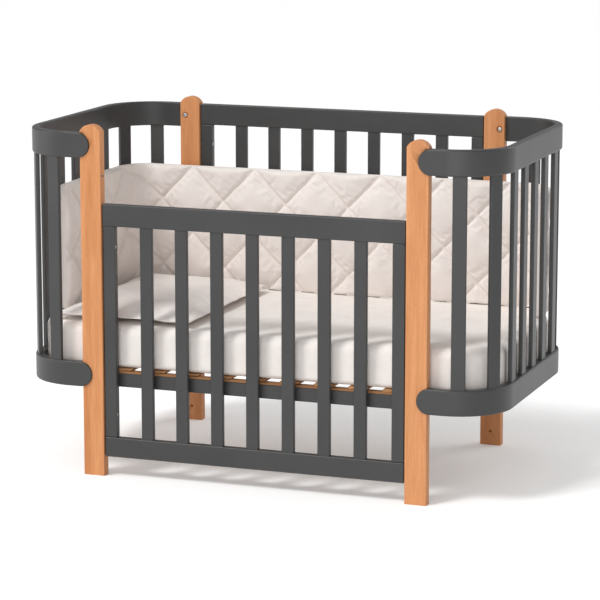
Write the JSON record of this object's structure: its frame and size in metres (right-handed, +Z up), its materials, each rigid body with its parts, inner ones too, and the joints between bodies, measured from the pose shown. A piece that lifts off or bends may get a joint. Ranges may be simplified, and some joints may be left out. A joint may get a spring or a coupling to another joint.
{
  "type": "convertible crib",
  "caption": "Crib with dark U-shaped end rails let into light wooden posts, slatted sides, a front panel set low, a mattress, a quilted bumper and a pillow.",
  "frame": {"origin": "on the floor, in the middle of the four feet, under the middle of the crib", "axes": "+X along the crib's length, to the right seen from the front; +Y from the front panel to the back panel; +Z up"},
  "size_m": [1.246, 0.68, 0.8799],
  "materials": {
    "beech": "satin",
    "graphite_wood": "satin",
    "base_wood": "matte",
    "steel": "satin",
    "sheet_fabric": "matte",
    "bumper_fabric": "matte",
    "pillow_fabric": "matte"
  },
  "bodies": {
    "frame": {"back_panel_bolts": "steel", "back_panel_rail_bottom": "graphite_wood", "back_panel_rail_top": "graphite_wood", "back_panel_slat_1": "graphite_wood", "back_panel_slat_2": "graphite_wood", "back_panel_slat_3": "graphite_wood", "back_panel_slat_4": "graphite_wood", "back_panel_slat_5": "graphite_wood", "back_panel_slat_6": "graphite_wood", "back_panel_slat_7": "graphite_wood", "back_panel_stile_left": "graphite_wood", "back_panel_stile_right": "graphite_wood", "base_battens": "base_wood", "base_bolts": "steel", "base_end_boards": "base_wood", "base_side_rails": "graphite_wood", "base_slats": "base_wood", "bolt_sleeves": "steel", "end_rail_lower_left": "graphite_wood", "end_rail_lower_right": "graphite_wood", "end_rail_top_left": "graphite_wood", "end_rail_top_right": "graphite_wood", "end_slat_left_1": "graphite_wood", "end_slat_left_2": "graphite_wood", "end_slat_left_3": "graphite_wood", "end_slat_left_4": "graphite_wood", "end_slat_left_5": "graphite_wood", "end_slat_left_6": "graphite_wood", "end_slat_left_7": "graphite_wood", "end_slat_left_8": "graphite_wood", "end_slat_left_9": "graphite_wood", "end_slat_right_1": "graphite_wood", "end_slat_right_2": "graphite_wood", "end_slat_right_3": "graphite_wood", "end_slat_right_4": "graphite_wood", "end_slat_right_5": "graphite_wood", "end_slat_right_6": "graphite_wood", "end_slat_right_7": "graphite_wood", "end_slat_right_8": "graphite_wood", "end_slat_right_9": "graphite_wood", "post_back_left": "beech", "post_back_right": "beech", "post_front_left": "beech", "post_front_right": "beech", "rail_bolts": "steel"},
    "front_panel": {"front_panel_bolts": "steel", "front_panel_rail_bottom": "graphite_wood", "front_panel_rail_top": "graphite_wood", "front_panel_slat_1": "graphite_wood", "front_panel_slat_2": "graphite_wood", "front_panel_slat_3": "graphite_wood", "front_panel_slat_4": "graphite_wood", "front_panel_slat_5": "graphite_wood", "front_panel_slat_6": "graphite_wood", "front_panel_slat_7": "graphite_wood", "front_panel_stile_left": "graphite_wood", "front_panel_stile_right": "graphite_wood"},
    "mattress": {"mattress": "sheet_fabric"},
    "bumper": {"bumper": "bumper_fabric"},
    "pillow": {"pillow": "pillow_fabric"}
  },
  "joints": [
    {"name": "front_panel_height", "type": "slide", "parent": "frame", "child": "front_panel", "axis": [0, 0, 1], "range_m": [0, 0.175]},
    {"name": "mattress_lift", "type": "slide", "parent": "frame", "child": "mattress", "axis": [0, 0, 1], "range_m": [0, 0.62]},
    {"name": "bumper_lift", "type": "slide", "parent": "mattress", "child": "bumper", "axis": [0, 0, 1], "range_m": [0, 0.51]},
    {"name": "pillow_lift", "type": "slide", "parent": "mattress", "child": "pillow", "axis": [0, 0, 1], "range_m": [0, 0.51]}
  ]
}
